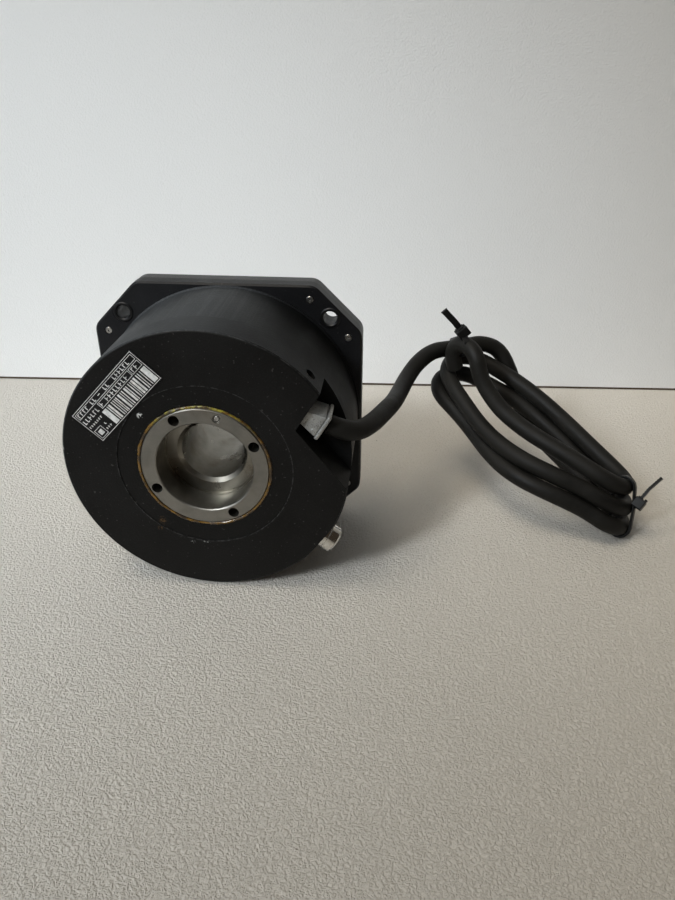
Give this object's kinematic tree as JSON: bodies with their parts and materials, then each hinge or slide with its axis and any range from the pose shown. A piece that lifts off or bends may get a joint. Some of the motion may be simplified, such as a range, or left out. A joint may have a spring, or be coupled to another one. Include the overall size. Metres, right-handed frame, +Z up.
{
  "type": "rotary encoder",
  "caption": "Hollow-shaft rotary encoder: round housing, square mounting flange with cut corners, notched cable cover and a coiled, tied cable.",
  "frame": {"origin": "on the shaft's axis, in the plane of the flange's mounting face", "axes": "+Y along the shaft from the cable cover to the mounting flange, +Z up as the encoder stands on its flange's edge, +X towards the cable's side"},
  "size_m": [0.199, 0.1039, 0.09],
  "materials": {
    "cover_paint": "satin",
    "housing_paint": "satin",
    "dark_plate": "satin",
    "grey_plate": "machined",
    "ring_steel": "machined",
    "shaft_steel": "oiled",
    "bright_steel": "polished",
    "bush_steel": "machined",
    "cast_zinc": "cast",
    "black_rubber": "matte",
    "grease_seal": "greasy",
    "nickel": "polished",
    "label": "printed",
    "glass": "clear",
    "anodised": "anodised",
    "chip_plastic": "matte",
    "board": "solder mask",
    "cable_jacket": "matte",
    "nylon": "moulded"
  },
  "bodies": {
    "stator": {"air_fitting": "nickel", "air_fitting_cap": "nickel", "board_connector": "chip_plastic", "cable_coil": "cable_jacket", "cable_core": "black_rubber", "cable_lead": "cable_jacket", "circuit_board": "board", "condenser_lens": "glass", "cover_gasket": "black_rubber", "cover_screw_1": "bright_steel", "cover_screw_2": "bright_steel", "cover_screw_3": "bright_steel", "detector_holder": "anodised", "flange_bush_1": "bush_steel", "flange_bush_2": "bush_steel", "flange_bush_3": "bush_steel", "flange_bush_4": "bush_steel", "flange_front_plate": "dark_plate", "flange_pin_1": "bright_steel", "flange_pin_2": "bright_steel", "flange_pin_3": "bright_steel", "flange_pin_4": "bright_steel", "flange_pin_5": "bright_steel", "flange_pin_6": "bright_steel", "flange_rear_plate": "grey_plate", "front_bearing_outer_ring": "bright_steel", "front_cover": "cover_paint", "front_seal": "grease_seal", "gland_body": "cast_zinc", "gland_end_plate": "cast_zinc", "housing": "housing_paint", "interpolator_chip": "chip_plastic", "label_plate": "label", "lamp_housing": "anodised", "lower_cable_tie": "nylon", "photodetector": "chip_plastic", "radial_set_screw": "bright_steel", "rear_bearing_outer_ring": "bright_steel", "rear_seal": "black_rubber", "scanning_bridge": "anodised", "scanning_plate": "glass", "upper_cable_tie": "nylon"},
    "rotor": {"front_ring": "ring_steel", "dowel_pin": "bright_steel", "hollow_shaft": "shaft_steel", "graduated_disc": "glass", "disc_clamp_ring": "bright_steel", "disc_screw_1": "bright_steel", "disc_screw_2": "bright_steel", "disc_screw_3": "bright_steel", "front_bearing_inner_ring": "bright_steel", "rear_bearing_inner_ring": "bright_steel", "bearing_spacer": "bright_steel", "shaft_lock_nut": "bright_steel"},
    "front_cage": {"front_bearing_cage": "bright_steel"},
    "rear_cage": {"rear_bearing_cage": "bright_steel"}
  },
  "joints": [
    {"name": "shaft_spin", "type": "hinge", "parent": "stator", "child": "rotor", "pos_m": [0, 0, 0], "axis": [0, 1, 0], "continuous": true},
    {"name": "front_cage_spin", "type": "hinge", "parent": "stator", "child": "front_cage", "pos_m": [0, 0, 0], "axis": [0, 1, 0], "continuous": true},
    {"name": "rear_cage_spin", "type": "hinge", "parent": "stator", "child": "rear_cage", "pos_m": [0, 0, 0], "axis": [0, 1, 0], "continuous": true}
  ],
  "couplings": [
    {"joint": "front_cage_spin", "follows": "shaft_spin", "ratio": 0.464},
    {"joint": "rear_cage_spin", "follows": "shaft_spin", "ratio": 0.464}
  ]
}
